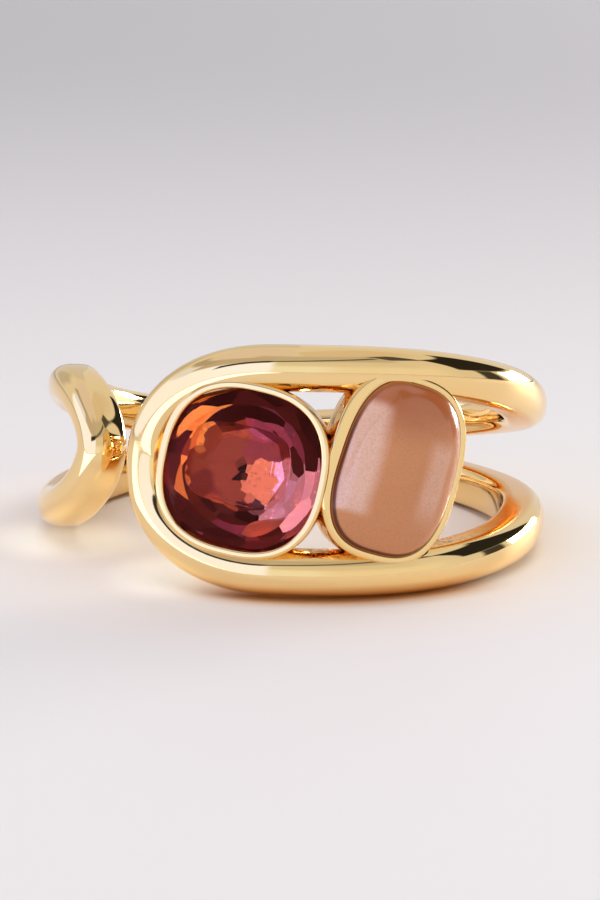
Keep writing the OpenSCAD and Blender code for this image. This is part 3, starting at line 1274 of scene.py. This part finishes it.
@dataclass
class SolderBridge:
    """The small web of solder between the two cups."""

    angle: float = 6.2
    top: float = 1.45
    bottom: float = -1.95
    outer_r: float = 10.3
    inner_r: float = 9.2
    half_w: float = 0.45
    end_power: float = 6.0
    end_share: float = 0.02
    section_power: float = 0.6
    # Share of painted shade and reflection over the whole bridge.
    crevice_shade: float = 0.6
    sides: int = 48
    layers: int = 24

    def build(self, gold: bpy.types.Material) -> None:
        """Makes the bridge as a piece with rounded ends.

        Args:
            gold: its finish.
        """
        t = np.linspace(0, 2 * math.pi, self.sides, endpoint=False)
        middle_r, half_r = (self.outer_r + self.inner_r) / 2, (self.outer_r - self.inner_r) / 2
        rings = []
        for u in np.linspace(-1, 1, self.layers + 1):
            share = (1 - abs(u) ** self.end_power) ** (1 / self.end_power) if abs(u) < 1 else self.end_share
            x = self.half_w * share * signed_power(np.cos(t), self.section_power)
            r = middle_r + half_r * share * signed_power(np.sin(t), self.section_power)
            z = (self.top + self.bottom) / 2 + u * (self.top - self.bottom) / 2
            rings.append(at_height(np.stack([x, -r], 1), z))
        points = np.concatenate(rings) @ np.array(Matrix.Rotation(math.radians(self.angle), 3, "Z")).T
        mesh = make_mesh("solder_bridge", SEAT.place(points), flat_ended(self.layers + 1, self.sides))
        mesh.flip_normals()
        mark_crevice_shade(mesh, [self.crevice_shade] * len(mesh.vertices))
        piece = add_object("solder_bridge", mesh)
        piece.data.materials.append(gold)
        finish_piece(piece, Solid.BAND)


@dataclass
class CushionCut:
    """A cushion stone whose facets are true planes: table, stars, kites, girdle facets and pavilion."""

    setting: Setting
    table: float = 0.34
    girdle: float = 0.12
    culet: float = -1.09
    star_tilt: float = 15.0
    kite_tilt: float = 24.0
    break_tilt: float = 32.0
    main_tilt: float = 17.0
    lower_tilt: float = 24.0
    kite_rise: float = 0.03
    star_rise: float = 0.24
    star_inset: float = 0.5
    main_drop: float = 0.08
    break_turn: float = 0.27
    spare: float = 0.1
    cut_slack: float = 1e-6
    weld: float = 1e-4
    sides: int = 96
    support_sides: int = 720

    def support(self, theta: float) -> float:
        """How far the outline reaches in a direction.

        Args:
            theta: the direction, in radians.
        Returns:
            The reach.
        """
        direction = np.array([math.cos(theta), math.sin(theta)])
        outline = self.setting.outline(self.setting.hold, self.support_sides)
        return float((outline @ direction).max())

    def cuts(self) -> list[tuple[Vector, Vector]]:
        """The planes of the facets.

        Returns:
            A point and an outward normal for each.
        """
        eighth = math.pi / 4
        high = self.setting.girdle_top
        low = high - self.girdle
        planes = [
            (Vector((0, 0, self.table)), Vector((0, 0, 1))),
            (Vector((0, 0, self.culet)), Vector((0, 0, -1))),
        ]

        def cut(theta: float, tilt: float, z: float, side: int, inset: float = 0.0) -> None:
            """Adds a facet.

            Args:
                theta: the direction in which it lies, in radians.
                tilt: how far it is tilted from flat, in degrees.
                z: the height where it meets the outline.
                side: 1 for the crown and -1 for the pavilion.
                inset: how far inside the outline it meets that height.
            """
            t, c, s = math.radians(tilt), math.cos(theta), math.sin(theta)
            reach = self.support(theta) - inset
            normal = Vector((c * math.sin(t), s * math.sin(t), side * math.cos(t)))
            planes.append((Vector((reach * c, reach * s, z)), normal))

        for k in range(8):
            middle = k + 0.5
            cut(middle * eighth, self.kite_tilt, high + self.kite_rise, 1)
            cut(k * eighth, self.star_tilt, high + self.star_rise, 1, self.star_inset)
            cut(middle * eighth, self.main_tilt, low - self.main_drop, -1)
            for turn in (-self.break_turn, self.break_turn):
                cut((middle + turn) * eighth, self.break_tilt, high, 1)
                cut((middle + turn) * eighth, self.lower_tilt, low, -1)
        return planes

    def build(self, glass: bpy.types.Material) -> None:
        """Makes the stone as a piece.

        Args:
            glass: its finish.
        """
        outline = self.setting.outline(self.setting.hold, self.sides)
        points = [at_height(outline, z) for z in (self.culet - self.spare, self.table + self.spare)]
        rough = make_mesh("rough", np.concatenate(points), flat_ended(2, self.sides))
        stone = bmesh.new()
        stone.from_mesh(rough)
        for point, normal in self.cuts():
            whole = stone.verts[:] + stone.edges[:] + stone.faces[:]
            plane = {"plane_co": point, "plane_no": normal, "clear_outer": True}
            made = bmesh.ops.bisect_plane(stone, geom=whole, dist=self.cut_slack, **plane)
            rim = [e for e in made["geom_cut"] if isinstance(e, bmesh.types.BMEdge)]
            if rim:
                bmesh.ops.edgeloop_fill(stone, edges=rim)
        bmesh.ops.remove_doubles(stone, verts=stone.verts[:], dist=self.weld)
        bmesh.ops.recalc_face_normals(stone, faces=stone.faces[:])
        corners = self.setting.on_ring(np.array([v.co[:] for v in stone.verts]))
        facets = [[v.index for v in f.verts] for f in stone.faces]
        stone.free()
        piece = add_object("garnet_cushion", make_mesh("garnet_cushion", corners, facets, rounded=False))
        piece.data.materials.append(glass)
        finish_piece(piece, Solid.FACETED)


@dataclass
class TabletDome:
    """The tall cabochon with its smooth dome."""

    setting: Setting
    rise: float = 0.95
    floor: float = -1.09
    power: float = 2.3
    shoulder: float = 0.02
    sides: int = 160
    layers: int = 48

    def build(self, glass: bpy.types.Material) -> None:
        """Makes the stone as a piece.

        Args:
            glass: its finish.
        """
        girdle = self.setting.girdle_top
        ring = self.setting.opening(self.setting.hold, self.sides)
        rings = [at_height(ring, z) for z in (self.floor, girdle - self.shoulder)]
        for t in np.linspace(0, math.pi / 2, self.layers, endpoint=False):
            u, shrink = math.sin(t) ** (2 / self.power), math.cos(t) ** (2 / self.power)
            rings.append(at_height(ring * shrink, girdle + (self.rise - girdle) * u))
        points, faces = point_ended(rings, self.floor, self.rise)
        piece = add_object("peach_cabochon", make_mesh("peach_cabochon", self.setting.on_ring(points), faces))
        piece.data.materials.append(glass)
        finish_piece(piece, Solid.CABOCHON)


# Studio.


@dataclass
class Softbox:
    """A rectangular studio light that shines at the ring. Azimuth 0 is the front, 90 the right."""

    name: str
    azimuth: float
    elevation: float
    distance: float
    size: Pair
    power: float
    colour: Colour = (1.0, 1.0, 1.0)
    mirrored: bool = True
    aim: tuple[float, float, float] = (0.0, 0.0, 0.004)

    def build(self) -> None:
        """Makes the light."""
        lamp = bpy.data.lights.new(self.name, "AREA")
        lamp.shape = "RECTANGLE"
        lamp.size, lamp.size_y = self.size
        lamp.energy = self.power
        lamp.color = self.colour
        a, e = math.radians(self.azimuth), math.radians(self.elevation)
        back = Vector((math.sin(a) * math.cos(e), -math.cos(a) * math.cos(e), math.sin(e)))
        turn = (-back).to_track_quat("-Z", "Y").to_matrix().to_4x4()
        light = add_object(self.name, lamp)
        light.matrix_world = Matrix.Translation(Vector(self.aim) + back * self.distance) @ turn
        light.visible_camera = False
        light.visible_glossy = self.mirrored


@dataclass
class SunPatch:
    """Sunlight on the floor at the left, which only the gold mirrors: a flat light that shines up."""

    corner: Pair = (-0.020, -0.007)
    side: float = 0.25
    height: float = 0.0003
    colour: Colour = (0.88, 1.0, 1.46)
    radiance: float = 1.2

    def build(self) -> None:
        """Makes the light."""
        lamp = bpy.data.lights.new("sun_patch", "AREA")
        lamp.size = self.side
        lamp.energy = self.radiance * math.pi * self.side**2
        lamp.color = self.colour
        light = add_object("sun_patch", lamp)
        x, y = (c - self.side / 2 for c in self.corner)
        light.matrix_world = Matrix.Translation((x, y, self.height)) @ Matrix.Rotation(math.pi, 4, "X")
        light.visible_camera = False


@dataclass(frozen=True)
class Panel:
    """A soft-edged rectangle of the surroundings, seen from the ring, in degrees.

    It climbs by its tilt for each degree to the right.
    """

    azimuth: Pair
    elevation: Pair
    colour: Colour
    edge: float = 4.0
    tilt: float = 0.0

    def mask(self, azimuth: Value, elevation: Value) -> Value:
        """Where the panel is.

        Args:
            azimuth: the direction to the right, in degrees.
            elevation: the direction upwards.
        Returns:
            1 inside and 0 outside.
        """
        half = self.edge / 2
        (left, right), (low, high) = self.azimuth, self.elevation
        across = azimuth.span(left - half, left + half, right - half, right + half)
        level = elevation - self.tilt * azimuth
        return across * level.span(low - half, low + half, high - half, high + half)


def grey(level: float) -> Colour:
    """A neutral colour."""
    return (level, level, level)


@dataclass(frozen=True)
class PalePaper(Finish):
    """The matt floor, with painted shade and light: darker far behind, warm round the ring's foot where the
    gold lights it, and a painted warm shadow under its front.

    A patch of painted glow, where the floor emits as if the gold lit it, has its middle and its half sizes,
    in metres.
    """

    name: ClassVar[str] = "pale_floor"
    near: Colour = (0.826, 0.791, 0.751)
    # Painted shade far behind the ring.
    far: Colour = (0.478, 0.460, 0.452)
    depth: Pair = (-0.01, 0.13)
    # Painted warm light round the ring's foot.
    warm: Colour = (0.87, 0.80, 0.725)
    warm_centre: Pair = (-0.003, -0.003)
    warm_size: Pair = (0.0135, 0.0125)
    # Painted warm shadow under the front of the ring.
    painted_amber: Colour = (0.70, 0.34, 0.09)
    amber_reach: Pair = (0.0118, 0.0100)
    amber_front: Pair = (-0.006, -0.0085)
    amber_right: Pair = (-0.005, -0.001)
    # Colour of the painted pools of light that the floor emits.
    glow: Colour = (0.22, 0.23, 0.18)
    patches: tuple[tuple[Pair, Pair], ...] = (
        ((-0.0092, -0.0022), (0.0026, 0.0025)),
        ((-0.0049, -0.0072), (0.0020, 0.0026)),
    )
    patch_edge: float = 0.7

    def surface(self, net: Net) -> Node:
        """Builds the surface shader.

        Args:
            net: the material's tree.
        Returns:
            The shader's last node.
        """
        where = net.add("ShaderNodeTexCoord")["Object"]
        x, y, _ = net.parts(where)
        radius = net.vector("LENGTH", where, output="Value")
        # Painted shade far behind, and painted warm light round the ring's foot.
        colour = net.blend(y.ramp(*self.depth), self.near, self.far)
        colour = net.blend(net.spot(where, self.warm_centre, self.warm_size), colour, self.warm)
        # Painted warm shadow under the front of the ring.
        foot = radius.ramp(*self.amber_reach) * y.ramp(*self.amber_front) * x.ramp(*self.amber_right)
        colour = net.blend(foot, colour, self.painted_amber)
        # Painted pools of light, as emission.
        light: Value | Colour = grey(0.0)
        for centre, size in self.patches:
            light = net.blend(net.spot(where, centre, size, self.patch_edge), light, self.glow)
        return net.add(
            "ShaderNodeBsdfPrincipled",
            {},
            {"Base Color": colour, "Roughness": 0.6, "Emission Color": light, "Emission Strength": 1.0},
        )


@dataclass
class Studio:
    """Pale floor, soft light and the camera."""

    room: Colour = (0.70, 0.70, 0.72)
    level: float = 1.1
    panels: tuple[Panel, ...] = (
        Panel((-175, -5), (50, 110), (0.68, 0.65, 0.76), 12),
        Panel((5, 160), (55, 110), (0.65, 0.60, 0.57), 12),
        Panel((-5, 75), (-9, 20), grey(0.80), 25),
        Panel((-14, 16), (-9, 22), (0.83, 0.90, 0.98), 16),
        Panel((-30, 62), (16, 34), grey(0.68), 12),
        Panel((-32, 58), (34, 62), grey(0.50), 10),
        Panel((-114, -10), (-9, 30), (0.95, 1.13, 1.8), 5),
        Panel((-112, -72), (26, 40), (0.74, 0.88, 1.35), 5),
        Panel((-74, -12), (30, 51), (0.50, 0.46, 0.47), 6),
        Panel((-124, -66), (40, 50), (0.42, 0.40, 0.42), 5),
        Panel((-160, -132), (4, 33), grey(0.50), 12),
        Panel((-200, -160), (-9, 45), grey(0.60), 15),
        Panel((86, 142), (16, 46), grey(0.02), 3),
        Panel((58, 86), (43, 61), grey(0.08), 5),
        Panel((97, 112), (-9, 16), grey(0.05), 4),
        Panel((-14, 54), (33, 38.5), grey(0.12), 3, 0.28),
        Panel((-44, -12), (31.5, 39), grey(0.03), 3, 0.28),
    )
    floor_half: float = 1.2
    fitted_elevation: float = 3.769
    fitted_roll: float = 1.334
    fitted_distance: float = 195.602
    focal_px: float = 4666.5
    centre_px: Pair = (292.204, 454.26)
    frame_px: tuple[int, int] = (600, 900)
    sensor: float = 36.0
    clip: Pair = (0.005, 20.0)

    def camera(self) -> None:
        """Makes the camera at the photograph's angle, aimed along the axis that the fit gave."""
        e, roll = math.radians(self.fitted_elevation), math.radians(self.fitted_roll)
        ahead = np.array([0, math.cos(e), -math.sin(e)])
        right, up = np.array([1.0, 0, 0]), np.array([0, math.sin(e), math.cos(e)])
        right, up = (
            right * math.cos(roll) + up * math.sin(roll),
            -right * math.sin(roll) + up * math.cos(roll),
        )
        data = bpy.data.cameras.new("camera")
        data.sensor_width = self.sensor
        data.lens = self.sensor * self.focal_px / max(self.frame_px)
        data.shift_x = (self.frame_px[0] / 2 - self.centre_px[0]) / max(self.frame_px)
        data.shift_y = (self.centre_px[1] - self.frame_px[1] / 2) / max(self.frame_px)
        data.clip_start, data.clip_end = self.clip
        camera = add_object("camera", data)
        place = Matrix(SEAT.direct(np.array([right, up, -ahead])).T.tolist()).to_4x4()
        place.translation = Vector(SEAT.place(-ahead * self.fitted_distance).tolist())
        camera.matrix_world = place
        bpy.context.scene.camera = camera

    def floor(self) -> None:
        """Makes the floor."""
        h = self.floor_half
        mesh = make_mesh("floor", np.array([(-h, -h, 0), (h, -h, 0), (h, h, 0), (-h, h, 0)]), [(0, 1, 2, 3)])
        floor = add_object("floor", mesh)
        mesh.materials.append(PalePaper().material())

    def surroundings(self) -> None:
        """Makes the soft light from all round: a pale room with the panels in front of it."""
        world = bpy.data.worlds.new("studio")
        world.use_nodes = True
        net = Net(world.node_tree)
        x, y, z = net.parts(net.add("ShaderNodeTexCoord")["Generated"])
        azimuth = net.math("ARCTAN2", x, 0.0 - y) * math.degrees(1)
        elevation = net.math("ARCSINE", z) * math.degrees(1)
        colour: Value | Colour = self.room
        for panel in self.panels:
            colour = net.blend(panel.mask(azimuth, elevation), colour, panel.colour)
        surface = net.add("ShaderNodeBackground", {}, {"Color": colour, "Strength": self.level})
        net.add("ShaderNodeOutputWorld", {}, {"Surface": surface[0]})
        bpy.context.scene.world = world

    def lights(self) -> None:
        """Makes the low key light behind the ring's right, a soft fill from above and the sun patch."""
        for light in (
            Softbox("key_right", 130, 8, 0.30, size=(0.15, 0.07), power=0.8, colour=(1.0, 0.97, 0.94)),
            Softbox(
                "top_fill", 0, 75, 0.60, size=(0.5, 0.5), power=1.3, colour=(1.0, 0.99, 1.0), mirrored=False
            ),
            SunPatch(),
        ):
            light.build()

    def build(self) -> None:
        """Makes the studio."""
        self.camera()
        self.floor()
        self.surroundings()
        self.lights()
        bpy.context.scene.view_settings.view_transform = "Standard"


def main() -> None:
    """Builds the ring and the studio."""
    logging.basicConfig(level=logging.INFO, format="%(name)s: %(message)s")
    gold = PolishedGold().material()
    cushion = Setting(angle=-10.9, half_w=3.12, half_h=3.18, power=2.55, turn=11)
    tablet = Setting(angle=23, half_w=2.58, half_h=3.46, power=2.8, turn=14.6, lift=0.15, draw=0.2)
    Studio().build()
    WireLoop().build(gold)
    Cup("garnet_cup", cushion).build(gold)
    Cup("peach_cup", tablet).build(gold)
    SolderBridge().build(gold)
    CushionCut(cushion).build(GarnetGlass(cushion).material())
    TabletDome(tablet).build(PeachGlass(tablet).material())


if __name__ == "__main__":
    main()
